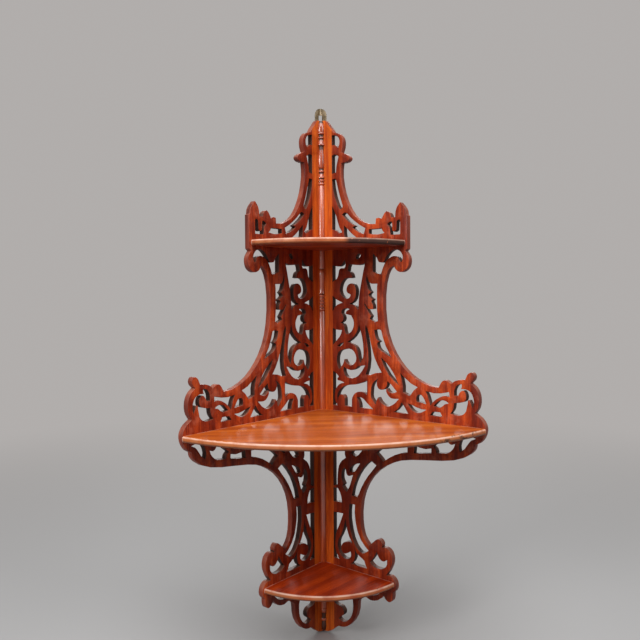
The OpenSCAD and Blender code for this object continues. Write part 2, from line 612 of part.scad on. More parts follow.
module lower_spindle() {
    color(mahogany_light) quarter_turned([[rod_r, low_z], [rod_r, mid_z - shelf_t]]);
}

module pendant_spindle() {
    color(mahogany_light) quarter_turned(concat(
        turned(DROP_TURNING, foot_gap, drop_h, drawn_drop),
        [[rod_r, low_z - shelf_t]]));
}

module hanger_plate() {
    color(brass) difference() {
        union() {
            on_left() leaf();
            on_right() leaf();
        }
        on_left() leaf_slot();
        on_right() leaf_slot();
        on_left() leaf_row(screw_fit, false);
        on_right() leaf_row(screw_fit, false);
    }
}

module hanger_screws() {
    color(brass) {
        on_left() leaf_row(0, true);
        on_right() leaf_row(0, true);
    }
}

module corner_screws_row() {
    color(steel) on_left() corner_row(0, true);
}

module shelf_screws(shelf) {
    color(steel) {
        on_left() shelf_row(shelf, 0, true);
        on_right() shelf_row(shelf, 0, true);
    }
}

module top_shelf_screws() {
    shelf_screws(TOP);
}

module middle_shelf_screws() {
    shelf_screws(MID);
}

module bottom_shelf_screws() {
    shelf_screws(LOW);
}

left_fret_panel();
right_fret_panel();
top_shelf();
middle_shelf();
bottom_shelf();
upper_spindle();
middle_spindle();
lower_spindle();
pendant_spindle();
hanger_plate();
hanger_screws();
corner_screws_row();
top_shelf_screws();
middle_shelf_screws();
bottom_shelf_screws();
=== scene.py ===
"""Finished look of a corner wall shelf in polished mahogany, built around its CAD frame.

The two fret-sawn panels and the folded hanger are made from the CAD shapes with softened
arrises, and the bow-fronted shelves from theirs as they are. The quarter-turned spindle in the corner is
turned anew.
The screws stay as the CAD has them. Everything is in metres, +Z up, with the front at -Y.
"""

import logging
import math
from collections.abc import Callable, Iterable
from dataclasses import dataclass
from enum import Enum
from typing import TypeAlias

import bpy
from mathutils import Matrix, Vector


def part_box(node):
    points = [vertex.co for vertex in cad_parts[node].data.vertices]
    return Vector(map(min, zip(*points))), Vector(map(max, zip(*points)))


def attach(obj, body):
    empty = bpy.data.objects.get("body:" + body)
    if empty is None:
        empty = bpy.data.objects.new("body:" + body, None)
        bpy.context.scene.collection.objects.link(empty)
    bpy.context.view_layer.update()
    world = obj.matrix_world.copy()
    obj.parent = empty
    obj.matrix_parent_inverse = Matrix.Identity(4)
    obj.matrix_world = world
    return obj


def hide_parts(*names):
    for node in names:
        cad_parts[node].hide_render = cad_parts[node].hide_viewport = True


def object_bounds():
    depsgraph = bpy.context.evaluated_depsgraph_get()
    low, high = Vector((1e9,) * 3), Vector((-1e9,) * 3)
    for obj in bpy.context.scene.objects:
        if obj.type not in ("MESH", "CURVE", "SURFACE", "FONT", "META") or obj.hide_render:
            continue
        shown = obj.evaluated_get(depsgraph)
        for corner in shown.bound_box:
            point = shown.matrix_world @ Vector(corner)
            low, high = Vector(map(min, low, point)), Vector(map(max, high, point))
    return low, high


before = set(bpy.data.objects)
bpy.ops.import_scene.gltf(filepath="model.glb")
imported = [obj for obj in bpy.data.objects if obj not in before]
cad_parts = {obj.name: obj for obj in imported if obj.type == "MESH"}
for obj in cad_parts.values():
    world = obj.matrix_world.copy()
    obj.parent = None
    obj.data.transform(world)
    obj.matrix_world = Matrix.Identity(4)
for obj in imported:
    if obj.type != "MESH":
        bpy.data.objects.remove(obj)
cad_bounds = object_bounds()

log = logging.getLogger("corner_shelf")

Colour = tuple[float, float, float]
Station = tuple[float, float]
Band = tuple[float, float]
Number: TypeAlias = "Value | float"

BODY = "root"
MM = 0.001
WELD = 0.004 * MM
LEVEL = math.radians(0.3)


class Wall(Enum):
    """The wall that a panel hangs on, with the turn about Z that lays the panel along X."""

    LEFT = -math.pi / 4
    RIGHT = math.pi / 4

    @property
    def label(self) -> str:
        """The wall in small letters, for names."""
        return self.name.lower()

    @property
    def out(self) -> Vector:
        """Direction from the wall out into the room."""
        towards = 1 if self is Wall.LEFT else -1
        return Vector((towards, -1, 0)).normalized()


class Grain(Enum):
    """How the fibres of a piece of wood run: their stretch along X, Y and Z."""

    UPRIGHT = (1.0, 1.0, 0.045)
    CROSSWISE = (0.045, 1.0, 1.0)


class Side(Enum):
    """What a face of a sawn board belongs to, with the number of its material."""

    FRONT = 0
    OPENING = 1
    BACK = 2
    EDGE = 3


# Shader graph


class Value:
    """What leaves a shader socket. Arithmetic on numbers adds Math nodes."""

    def __init__(self, graph: "Graph", socket: bpy.types.NodeSocket) -> None:
        """Wraps a socket.

        Args:
            graph: The node tree that the socket is in.
            socket: An output socket.
        """
        self.graph = graph
        self.socket = socket

    def _math(self, operation: str, first: Number, second: Number) -> "Value":
        """Adds one Math node.

        Args:
            operation: Blender's name for the operation.
            first: The left operand.
            second: The right operand.

        Returns:
            The result.
        """
        return self.graph.node("ShaderNodeMath", {"operation": operation}, {0: first, 1: second})

    def __add__(self, other: Number) -> "Value":
        """Returns the sum."""
        return self._math("ADD", self, other)

    __radd__ = __add__

    def __sub__(self, other: Number) -> "Value":
        """Returns the difference."""
        return self._math("SUBTRACT", self, other)

    def __rsub__(self, other: Number) -> "Value":
        """Returns the reflected difference."""
        return self._math("SUBTRACT", other, self)

    def __mul__(self, other: Number) -> "Value":
        """Returns the product."""
        return self._math("MULTIPLY", self, other)

    __rmul__ = __mul__

    def __abs__(self) -> "Value":
        """Returns the size without the sign."""
        return self._math("ABSOLUTE", self, 0.0)


class Graph:
    """Node tree of a material or of the world, with its main shader."""

    def __init__(self, owner: bpy.types.Material | bpy.types.World, shader: str) -> None:
        """Opens the nodes of their owner.

        Args:
            owner: The material or the world.
            shader: Name of its main shader node.
        """
        owner.use_nodes = True
        self.owner = owner
        self.tree = owner.node_tree
        self.shader = self.tree.nodes[shader]

    @classmethod
    def of_material(cls, name: str) -> "Graph":
        """Returns the graph of a new material."""
        return cls(bpy.data.materials.new(name), "Principled BSDF")

    @classmethod
    def of_world(cls, name: str) -> "Graph":
        """Returns the graph of a new world."""
        return cls(bpy.data.worlds.new(name), "Background")

    def node(
        self,
        kind: str,
        settings: dict[str, object] | None = None,
        inputs: dict[str | int, object] | None = None,
        output: str | int = 0,
    ) -> Value:
        """Adds a node.

        Args:
            kind: Blender's type name of the node.
            settings: The node's own settings. "stops" are places and colours on a ramp.
            inputs: Values or links for its sockets, by name or number.
            output: The socket that is returned, by name or number.

        Returns:
            The chosen output.
        """
        made = self.tree.nodes.new(kind)
        for key, setting in (settings or {}).items():
            if key == "stops":
                self._set_stops(made.color_ramp, setting)
            else:
                setattr(made, key, setting)
        for key, value in (inputs or {}).items():
            self.feed(made.inputs[key], value)
        return Value(self, made.outputs[output])

    @staticmethod
    def _set_stops(ramp: bpy.types.ColorRamp, stops: Iterable[tuple[float, Colour]]) -> None:
        """Writes a colour ramp.

        Args:
            ramp: The ramp to change.
            stops: Places from 0 to 1, each with its colour.
        """
        wanted = list(stops)
        while len(ramp.elements) < len(wanted):
            ramp.elements.new(1.0)
        for element, (place, colour) in zip(ramp.elements, wanted):
            element.position = place
            element.color = (*colour, 1.0)

    def feed(self, socket: bpy.types.NodeSocket, value: object) -> None:
        """Links or sets an input socket.

        Args:
            socket: The input.
            value: An output to link, or what to set it to.
        """
        if isinstance(value, Value):
            self.tree.links.new(value.socket, socket)
        elif socket.type == "RGBA":
            socket.default_value = (*value, 1.0)
        else:
            socket.default_value = value

    def place(self) -> Value:
        """Returns the point on the object, in metres."""
        return self.node("ShaderNodeTexCoord", output="Object")

    def laid(self, point: Value, turn: float, stretch: tuple[float, float, float]) -> Value:
        """Turns a point about Z, then stretches it.

        Args:
            point: The point.
            turn: Angle in radians.
            stretch: Scale along X, Y and Z.

        Returns:
            The new point.
        """
        turned = self.node("ShaderNodeMapping", inputs={"Vector": point, "Rotation": (0, 0, turn)})
        return self.node("ShaderNodeMapping", inputs={"Vector": turned, "Scale": stretch})

    def noise(self, point: Value, size: float, detail: float = 3.0, rough: float = 0.5) -> Value:
        """Adds smooth noise.

        Args:
            point: Where to read it.
            size: Width of one patch, in metres.
            detail: Number of finer layers.
            rough: Strength of the finer layers.

        Returns:
            A value from 0 to 1, mostly near the middle.
        """
        inputs = {"Vector": point, "Scale": 1 / size, "Detail": detail, "Roughness": rough}
        return self.node("ShaderNodeTexNoise", inputs=inputs)

    def rise(self, value: Value, start: float, full: float) -> Value:
        """Adds a smooth step.

        Args:
            value: What it depends on.
            start: Where it is still 0.
            full: Where it reaches 1. It may be the lower of the two.

        Returns:
            A value from 0 to 1.
        """
        settings = {"interpolation_type": "SMOOTHSTEP"}
        ends = {"From Min": min(start, full), "From Max": max(start, full)}
        step = self.node("ShaderNodeMapRange", settings, {"Value": value, **ends})
        return step if full > start else 1 - step

    def patches(
        self, point: Value, size: float, start: float, full: float, detail: float = 3.0, rough: float = 0.5
    ) -> Value:
        """Returns patches with soft rims, which lie where noise rises from start to full."""
        return self.rise(self.noise(point, size, detail, rough), start, full)

    def vector(self, operation: str, inputs: dict[str | int, object], output: str = "Vector") -> Value:
        """Returns the result of one Vector Math node."""
        return self.node("ShaderNodeVectorMath", {"operation": operation}, inputs, output)

    def mix(self, share: Number, first: object, second: object) -> Value:
        """Mixes two colours.

        Args:
            share: How much of the second.
            first: A colour or a link.
            second: A colour or a link.

        Returns:
            The mixed colour.
        """
        settings = {"data_type": "RGBA", "clamp_result": True}
        return self.node("ShaderNodeMix", settings, {0: share, 6: first, 7: second}, 2)

    def ramp(self, value: Value, *stops: tuple[float, Colour]) -> Value:
        """Returns the colour at a value between stops, each a place and a colour."""
        return self.node("ShaderNodeValToRGB", {"stops": stops}, {"Fac": value})

    def across(self, point: Value, axis: str) -> Value:
        """Returns one coordinate of a point."""
        return self.node("ShaderNodeSeparateXYZ", inputs={"Vector": point}, output=axis)

    def reach(self, point: Value, centre_y: float = 0.0) -> Value:
        """Measures how far a point is from an upright line at X = 0.

        Args:
            point: The point.
            centre_y: Where the line crosses Y.

        Returns:
            The distance, in metres.
        """
        inputs = {"Vector": point, "Location": (0, -centre_y, 0), "Scale": (1, 1, 0)}
        flat = self.node("ShaderNodeMapping", inputs=inputs)
        return self.vector("LENGTH", {0: flat}, "Value")

    def bump(self, height: Value, depth: float, strength: float) -> None:
        """Gives the surface relief.

        Args:
            height: The relief, from 0 to 1.
            depth: How deep it is, in metres.
            strength: How much of it shows.
        """
        inputs = {"Height": height, "Distance": depth, "Strength": strength}
        self.feed(self.shader.inputs["Normal"], self.node("ShaderNodeBump", inputs=inputs))

    def set(self, **sockets: object) -> None:
        """Sets or links the shader's sockets, named with underscores for spaces."""
        for name, value in sockets.items():
            self.feed(self.shader.inputs[name.replace("_", " ")], value)


# Finishes


@dataclass(frozen=True)
class Mahogany:
    """Mahogany under shellac: ribbon figure, streaks, open pores and a coat of polish.

    Ribbons, streaks and pores are given by their width across the grain, the haze by the
    size of its patches and the bends by their number in a metre. The wander is how far a
    fibre leaves its line, and the spread is how soon pale and dark wood are reached.
    """

    name: str
    pale: Colour
    mid: Colour
    dark: Colour
    grain: Grain = Grain.UPRIGHT
    turn: float = 0.0
    ribbon: float = 16 * MM
    streak: float = 2.4 * MM
    pore: float = 0.7 * MM
    pore_shade: float = 0.35
    haze: float = 45 * MM
    wander: float = 6 * MM
    bends: float = 7.0
    relief: float = 0.15 * MM
    rough: float = 0.42
    polish: float = 0.22
    polish_rough: float = 0.22
    gloss: float = 0.25
    coat_ior: float = 1.5
    spread: float = 0.12

    def material(self) -> bpy.types.Material:
        """Builds the material.

        Returns:
            The finished material.
        """
        graph = Graph.of_material(self.name)
        place = graph.place()
        fibre = self.fibres(graph, place)
        figure = graph.noise(fibre, self.ribbon, 2.0)
        streaks = graph.noise(fibre, self.streak, 4.0, 0.6)
        pores = graph.patches(fibre, self.pore, 0.6, 0.72, 1.0)
        haze = graph.noise(place, self.haze)
        tone = figure * 0.55 + streaks * 0.3 + haze * 0.15
        stops = ((0.5 - self.spread, self.dark), (0.5, self.mid), (0.5 + self.spread, self.pale))
        in_pore = tuple(self.pore_shade * part for part in self.dark)
        colour = graph.mix(pores * 0.45, graph.ramp(tone, *stops), in_pore)
        colour, polish = self.age(graph, place, colour)
        rough = self.rough + haze * 0.12 + pores * 0.15
        graph.set(Base_Color=colour, Roughness=rough, Specular_IOR_Level=self.gloss)
        graph.set(Coat_Weight=polish, Coat_Roughness=self.polish_rough, Coat_IOR=self.coat_ior)
        graph.bump(streaks * 0.4 - pores + haze * 0.6, self.relief, 0.35)
        return graph.owner

    def fibres(self, graph: Graph, place: Value) -> Value:
        """Lays the point along the grain, with a slight wander.

        Args:
            graph: The material's graph.
            place: The point on the object.

        Returns:
            The point, stretched so that even noise becomes long fibres.
        """
        inputs = {"Vector": place, "Scale": self.bends, "Detail": 1.0}
        drift = graph.node("ShaderNodeTexNoise", inputs=inputs, output="Color")
        centred = graph.vector("SUBTRACT", {0: drift, 1: (0.5, 0.5, 0.5)})
        swing = graph.vector("SCALE", {0: centred, "Scale": self.wander * 2})
        moved = graph.vector("ADD", {0: place, 1: swing})
        return graph.laid(moved, self.turn, self.grain.value)

    def age(self, graph: Graph, place: Value, colour: Value) -> tuple[Value, Number]:
        """Adds what wear and handling have done.

        Args:
            graph: The material's graph.
            place: The point on the object.
            colour: The wood's colour so far.

        Returns:
            The aged colour, and the weight of the polish.
        """
        dulled = graph.patches(place, 30 * MM, 0.42, 0.66, 4.0)
        return colour, self.polish * (1 - dulled * 0.4)


@dataclass(frozen=True)
class FretMahogany(Mahogany):
    """Face of a fret-sawn panel, whose stile beside the corner has been kept brighter.

    The painted shade darkens the fretwork near the corner, where the neighbouring parts shade it. Its
    band, like the reach of the stile, is measured
    from the corner: where it starts and where it is full.
    """

    stile: Colour = (0.78, 0.16, 0.012)
    stile_dark: Colour = (0.46, 0.06, 0.005)
    stile_reach: float = 42 * MM
    stile_rim: float = 1.5 * MM
    bloom_and_sheen: Colour = (0.52, 0.15, 0.085)
    painted_shade_band: Band = (150 * MM, 90 * MM)

    def age(self, graph: Graph, place: Value, colour: Value) -> tuple[Value, Number]:
        """Brightens the stile, paints shade on the fretwork near the corner, and rubs the fretwork
        unevenly with bloom and a painted sheen.

        Args:
            graph: The material's graph.
            place: The point on the object.
            colour: The wood's colour so far.

        Returns:
            The aged colour, and the weight of the polish.
        """
        along = abs(graph.across(graph.laid(place, self.turn, (1, 1, 1)), "X"))
        on_stile = graph.rise(along, self.stile_reach + self.stile_rim, self.stile_reach - self.stile_rim)
        fibre = self.fibres(graph, place)
        fine = graph.noise(fibre, 1.5 * MM, 4.0, 0.65)
        slow = graph.noise(fibre, 9 * MM, 2.0)
        bright = graph.ramp(fine * 0.5 + slow * 0.5, (0.43, self.stile_dark), (0.57, self.stile))
        warmed = graph.mix(0.68, colour, bright)
        darkened = graph.patches(place, 40 * MM, 0.45, 0.6, 4.0, 0.6)
        colour = graph.mix(darkened * 0.5, colour, self.dark)
        # Painted shade: the fretwork near the corner is darkened towards the wood's dark colour.
        painted_shade = graph.rise(along, *self.painted_shade_band)
        colour = graph.mix(painted_shade * 0.42, colour, self.dark)
        # Random patches of milky bloom with a painted pinkish sheen, kept out of the painted shade; the
        # patches also lessen the polish.
        rubbed = graph.patches(place, 26 * MM, 0.52, 0.7, 5.0, 0.6)
        colour = graph.mix(rubbed * (1 - painted_shade) * 0.4, colour, self.bloom_and_sheen)
        colour = graph.mix(on_stile, colour, warmed)
        return colour, self.polish * (1 - rubbed * 0.3)


@dataclass(frozen=True)
class SawnMahogany(Mahogany):
    """A sawn edge: polished, painted pale in patches where it faces up as a sheen of the light from above,
    and dull elsewhere.
    """

    # Colour of the painted sheen on upward faces, with some wear.
    rubbed: Colour = (0.42, 0.15, 0.09)
    sheen_share: float = 0.5
    least_polish: float = 0.0

    def age(self, graph: Graph, place: Value, colour: Value) -> tuple[Value, Number]:
        """Paints a pale sheen in patches on what faces up.

        Args:
            graph: The material's graph.
            place: The point on the object.
            colour: The wood's colour so far.

        Returns:
            The aged colour, and the weight of the polish.
        """
        normal = graph.node("ShaderNodeNewGeometry", output="Normal")
        upward = graph.rise(graph.across(normal, "Z"), 0.0, 0.7)
        # Painted sheen: faces that look up are painted pale in patches, standing in for the light from
        # above.
        worn_and_sheen = upward * graph.patches(place, 18 * MM, 0.3, 0.6)
        colour = graph.mix(worn_and_sheen * self.sheen_share, colour, self.rubbed)
        return colour, self.least_polish + upward * self.polish


@dataclass(frozen=True)
class ShelfMahogany(Mahogany):
    """A shelf, whose rounded front edge has wear and a painted highlight on top, painted shade below and
    stains in places.

    The bow is the circle of the front edge, by its centre's Y and its radius. The corner is the
    Y where the panels' faces meet. A band is where something starts and where it is full: in
    shares of the thickness below the top for the arris with its wear and painted highlight and for
    the foot with its painted shade, in metres inside the bow for the edge and the stain, and in
    metres from a panel for the wax with its painted glint. Stain runs from 0 to 1, and grows
    along X over a band of its own.
    """

    bow_centre: float = 0.0
    bow_radius: float = 1.0
    corner: float = 0.0
    top: float = 0.0
    thick: float = 11.5 * MM
    arris_band: Band = (0.36, 0.14)
    shaded_foot_band: Band = (0.55, 0.8)
    edge_band: Band = (3.4 * MM, 1.4 * MM)
    stain_band: Band = (5 * MM, 3 * MM)
    wax_and_glint_band: Band = (2.8 * MM, 1.2 * MM)
    worn_and_sheen: Colour = (0.84, 0.54, 0.42)
    edge: Colour = (0.54, 0.18, 0.065)
    painted_shade_colour: Colour = (0.09, 0.02, 0.008)
    black: Colour = (0.03, 0.017, 0.016)
    joint: Colour = (0.62, 0.38, 0.3)
    stain: float = 0.5
    stain_along: Band = (0.0, 0.3)

    def age(self, graph: Graph, place: Value, colour: Value) -> tuple[Value, Number]:
        """Rubs the front edge and paints a highlight on its arris, paints shade on its foot, stains it,
        and leaves old wax with a painted glint beside the panels.

        Args:
            graph: The material's graph.
            place: The point on the object.
            colour: The wood's colour so far.

        Returns:
            The aged colour, and the weight of the polish.
        """
        sideways, forward, height = (graph.across(place, axis) for axis in "XYZ")
        out = graph.reach(place, self.bow_centre)
        on_arris = graph.rise(height, *(self.top - share * self.thick for share in self.arris_band))
        in_foot_shade = graph.rise(height, *(self.top - share * self.thick for share in self.shaded_foot_band))
        on_edge = graph.rise(out, *(self.bow_radius - inside for inside in self.edge_band))
        uneven = graph.patches(place, 24 * MM, 0.34, 0.6, 4.0, 0.6)
        colour = graph.mix(on_edge * (0.35 + uneven * 0.45), colour, self.edge)
        # Wear on the top arris, with a painted highlight of the light from above.
        colour = graph.mix(on_edge * on_arris * (0.45 + uneven * 0.4), colour, self.worn_and_sheen)
        # Painted shade on the lower part of the front edge, which no light reaches from below.
        colour = graph.mix(on_edge * in_foot_shade * 0.6, colour, self.painted_shade_colour)
        least = 0.62 - 0.3 * self.stain
        marks = graph.patches(place, 10 * MM, least, least + 0.08, 4.0, 0.65)
        stretch = graph.rise(sideways, *self.stain_along)
        near_edge = graph.rise(out, *(self.bow_radius - inside for inside in self.stain_band))
        stained = near_edge * marks * stretch * (1 - on_arris * 0.4)
        colour = graph.mix(stained * 0.92, colour, self.black)
        # Old wax along the joint with the panels, with a painted glint where the joint catches the light.
        from_panel = (self.corner - abs(sideways) - forward) * math.sqrt(0.5)
        beside_panel = graph.rise(from_panel, *self.wax_and_glint_band)
        wax_and_glint = beside_panel * graph.patches(place, 20 * MM, 0.35, 0.55, 2.0)
        colour = graph.mix(wax_and_glint * 0.6, colour, self.joint)
        return colour, self.polish + on_edge * (1 - stained) * 0.3


@dataclass(frozen=True)
class TurnedMahogany(Mahogany):
    """The turned column, with painted shade and duller polish in its grooves, which lie within a radius.
    """

    axis_y: float = 0.0
    groove: float = 8.3 * MM
    groove_rim: float = 0.9 * MM
    painted_shade_colour: Colour = (0.035, 0.009, 0.004)

    def age(self, graph: Graph, place: Value, colour: Value) -> tuple[Value, Number]:
        """Paints shade into the grooves and dulls their polish.

        Args:
            graph: The material's graph.
            place: The point on the object.
            colour: The wood's colour so far.

        Returns:
            The aged colour, and the weight of the polish.
        """
        from_axis = graph.reach(place, self.axis_y)
        deep = graph.rise(from_axis, self.groove, self.groove - self.groove_rim)
        # Painted shade in the grooves, which also dulls the polish there.
        return graph.mix(deep * 0.92, colour, self.painted_shade_colour), self.polish * (1 - deep * 0.7)


@dataclass(frozen=True)
class OldBrass:
    """Unlacquered brass that has gone dull and olive, with rubbed places and fine scratches."""

    name: str = "old_brass"
    clean: Colour = (0.33, 0.26, 0.17)
    dull: Colour = (0.2, 0.155, 0.1)
    spot: Colour = (0.07, 0.06, 0.04)

    def material(self) -> bpy.types.Material:
        """Builds the material.

        Returns:
            The finished material.
        """
        graph = Graph.of_material(self.name)
        place = graph.place()
        cloud = graph.noise(place, 9 * MM)
        colour = graph.ramp(cloud, (0.35, self.dull), (0.62, self.clean))
        spots = graph.patches(place, 1.6 * MM, 0.66, 0.76)
        colour = graph.mix(spots * 0.4, colour, self.spot)
        scratches = graph.noise(graph.laid(place, 0.0, (1, 1, 0.08)), 0.35 * MM, 2.0)
        graph.set(Base_Color=colour, Metallic=1 - spots * 0.3)
        graph.set(Roughness=0.34 + cloud * 0.16 + spots * 0.2)
        graph.bump(scratches * 0.4 - spots * 0.6 + cloud * 0.5, 0.05 * MM, 0.3)
        return graph.owner


@dataclass(frozen=True)
class ScrewSteel:
    """Plain steel of old wood screws, dull grey with a little rust."""

    name: str = "screw_steel"
    bright: Colour = (0.46, 0.45, 0.44)
    dull: Colour = (0.2, 0.19, 0.185)
    rust: Colour = (0.19, 0.08, 0.035)

    def material(self) -> bpy.types.Material:
        """Builds the material.

        Returns:
            The finished material.
        """
        graph = Graph.of_material(self.name)
        place = graph.place()
        cloud = graph.noise(place, 3 * MM, 4.0, 0.6)
        colour = graph.ramp(cloud, (0.35, self.dull), (0.65, self.bright))
        rusted = graph.patches(place, 2.2 * MM, 0.55, 0.68)
        colour = graph.mix(rusted * 0.7, colour, self.rust)
        turned = graph.noise(graph.laid(place, 0.0, (0.1, 1, 1)), 0.3 * MM, 2.0)
        graph.set(Base_Color=colour, Metallic=1 - rusted * 0.8)
        graph.set(Roughness=0.32 + cloud * 0.15 + rusted * 0.35)
        graph.bump(turned * 0.5 + rusted * 0.5, 0.06 * MM, 0.4)
        return graph.owner


# Making pieces


def deselect() -> None:
    """Leaves no object selected and no mesh open."""
    if bpy.context.object and bpy.context.object.mode != "OBJECT":
        bpy.ops.object.mode_set(mode="OBJECT")
    bpy.ops.object.select_all(action="DESELECT")


def take(piece: bpy.types.Object) -> None:
    """Selects one object and makes it the active one.

    Args:
        piece: The object.
    """
    deselect()
    piece.select_set(True)
    bpy.context.view_layer.objects.active = piece


def apply_modifiers(piece: bpy.types.Object) -> None:
    """Applies every modifier of a piece.

    Args:
        piece: The object.
    """
    take(piece)
    for modifier in list(piece.modifiers):
        bpy.ops.object.modifier_apply(modifier=modifier.name)


def cut_from(node: str, name: str) -> bpy.types.Object:
    """Starts a piece from a CAD node, with its loose triangles joined into clean faces.

    Args:
        node: The CAD node.
        name: The piece's name.

    Returns:
        The new object, which stands for the node.
    """
    piece = bpy.data.objects.new(name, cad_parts[node].data.copy())
    piece.data.name = name
    piece.data.materials.clear()
    bpy.context.scene.collection.objects.link(piece)
    take(piece)
    bpy.ops.object.mode_set(mode="EDIT")
    bpy.ops.mesh.select_all(action="SELECT")
    bpy.ops.mesh.remove_doubles(threshold=WELD)
    bpy.ops.mesh.customdata_custom_splitnormals_clear()
    bpy.ops.mesh.dissolve_limited(angle_limit=LEVEL)
    bpy.ops.object.mode_set(mode="OBJECT")
    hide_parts(node)
    return piece


def soften(piece: bpy.types.Object, width: float, sharp: float, segments: int = 2) -> None:
    """Rounds the arrises of a piece.

    Args:
        piece: The object.
        width: Width of the rounding, in metres.
        sharp: Edges sharper than this angle in degrees are rounded.
        segments: Faces across the rounding.
    """
    bevel = piece.modifiers.new("arris", "BEVEL")
    bevel.width = width
    bevel.segments = segments
    bevel.limit_method = "ANGLE"
    bevel.angle_limit = math.radians(sharp)
    bevel.use_clamp_overlap = False
    bevel.miter_outer = "MITER_SHARP"
    apply_modifiers(piece)


def bevel_edges(
    piece: bpy.types.Object,
    width: float,
    segments: int,
    wanted: Callable[[bool, Vector, Vector], bool],
    sharp: float = 40.0,
) -> None:
    """Rounds chosen edges of a piece.

    Args:
        piece: The object.
        width: Width of the rounding, in metres.
        segments: Faces across the rounding.
        wanted: Picks an edge from whether it is sharp and from its two ends.
        sharp: Angle in degrees from which an edge counts as sharp.
    """
    mesh = piece.data
    take(piece)
    bpy.ops.object.mode_set(mode="EDIT")
    bpy.ops.mesh.select_mode(type="EDGE")
    bpy.ops.mesh.select_all(action="DESELECT")
    bpy.ops.mesh.edges_select_sharp(sharpness=math.radians(sharp))
    bpy.ops.object.mode_set(mode="OBJECT")
    chosen = {
        edge.index
        for edge in mesh.edges
        if wanted(edge.select, *(mesh.vertices[number].co for number in edge.vertices))
    }
    bpy.ops.object.mode_set(mode="EDIT")
    bpy.ops.mesh.select_all(action="DESELECT")
    bpy.ops.object.mode_set(mode="OBJECT")
    for edge in mesh.edges:
        edge.select = edge.index in chosen
    bpy.ops.object.mode_set(mode="EDIT")
    bpy.ops.mesh.bevel(offset=width, segments=segments, affect="EDGES")
    bpy.ops.object.mode_set(mode="OBJECT")


def smooth(piece: bpy.types.Object, angle: float = 30.0) -> None:
    """Shades a piece smoothly, apart from its sharp edges.

    Args:
        piece: The object.
        angle: Edges sharper than this angle in degrees stay sharp.
    """
    take(piece)
    bpy.ops.object.shade_smooth_by_angle(angle=math.radians(angle))


def dress(
    piece: bpy.types.Object,
    materials: list[bpy.types.Material],
    choose: Callable[[bpy.types.MeshPolygon], int] | None = None,
) -> None:
    """Gives a piece its materials.

    Args:
        piece: The object.
        materials: The materials, in order.
        choose: Picks a material's number for a face. Without it all faces take the first.
    """
    piece.data.materials.clear()
    for material in materials:
        piece.data.materials.append(material)
    for face in piece.data.polygons:
        face.material_index = choose(face) if choose else 0


def hand_over(piece: bpy.types.Object) -> None:
    """Fastens a finished piece to the frame.

    Args:
        piece: The object.
    """
    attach(piece, BODY)
    log.info("%s: %d faces", piece.name, len(piece.data.polygons))


# The shelf's parts


@dataclass
class FretPanel:
    """One of the two fret-sawn side panels.

    A face belongs to the front or the back where the cosine between it and the board is
    over the value for flat. The openings are looked across from clear to widest.
    """

    wall: Wall
    arris: float = 0.6 * MM
    sharp: float = 38.0
    flat: float = 0.6
    clear: float = 0.3 * MM
    widest: float = 62 * MM

    @property
    def node(self) -> str:
        """Name of the panel's CAD node."""
        return f"{self.wall.label}_fret_panel"

    def build(self) -> bpy.types.Object:
        """Makes the panel.

        Returns:
            The finished piece.
        """
        piece = cut_from(self.node, f"{self.node}_polished")
        soften(piece, self.arris, self.sharp)
        smooth(piece)
        finishes = self.finishes()
        materials = [finishes[side].material() for side in Side]
        dress(piece, materials, lambda polygon: self.side_of(piece, polygon).value)
        hand_over(piece)
        return piece

    def finishes(self) -> dict[Side, Mahogany]:
        """Lists the panel's finishes.

        Returns:
            A finish for every side of the board.
        """
        label, turn = self.wall.label, self.wall.value
        return {
            Side.FRONT: FretMahogany(
                f"panel_mahogany_{label}",
                pale=(0.58, 0.085, 0.015),
                mid=(0.35, 0.038, 0.0075),
                dark=(0.15, 0.013, 0.004),
                spread=0.09,
                turn=turn,
                rough=0.46,
                polish=0.12,
                gloss=0.16,
            ),
            Side.OPENING: SawnMahogany(
                f"sawn_mahogany_{label}",
                pale=(0.12, 0.05, 0.036),
                mid=(0.07, 0.027, 0.019),
                dark=(0.035, 0.012, 0.009),
                turn=turn,
                rough=0.55,
                polish=0.3,
                polish_rough=0.34,
            ),
            Side.BACK: Mahogany(
                f"unpolished_mahogany_{label}",
                pale=(0.33, 0.13, 0.06),
                mid=(0.22, 0.075, 0.035),
                dark=(0.12, 0.038, 0.02),
                turn=turn,
                rough=0.62,
                polish=0.03,
            ),
            Side.EDGE: SawnMahogany(
                f"edge_mahogany_{label}",
                pale=(0.36, 0.07, 0.034),
                mid=(0.23, 0.038, 0.018),
                dark=(0.11, 0.016, 0.009),
                turn=turn,
                rough=0.45,
                polish=0.22,
                polish_rough=0.34,
                least_polish=0.12,
            ),
        }

    def side_of(self, piece: bpy.types.Object, face: bpy.types.MeshPolygon) -> Side:
        """Tells which side of the board a face is on.

        Args:
            piece: The panel.
            face: The face.

        Returns:
            The side. A sawn face from which more of the panel is in sight is in an opening.
        """
        facing = face.normal.dot(self.wall.out)
        if abs(facing) > self.flat:
            return Side.FRONT if facing > 0 else Side.BACK
        across = (face.normal - self.wall.out * facing).normalized()
        start = face.center + across * self.clear
        in_sight, *_ = piece.ray_cast(start, across, distance=self.widest)
        return Side.OPENING if in_sight else Side.EDGE


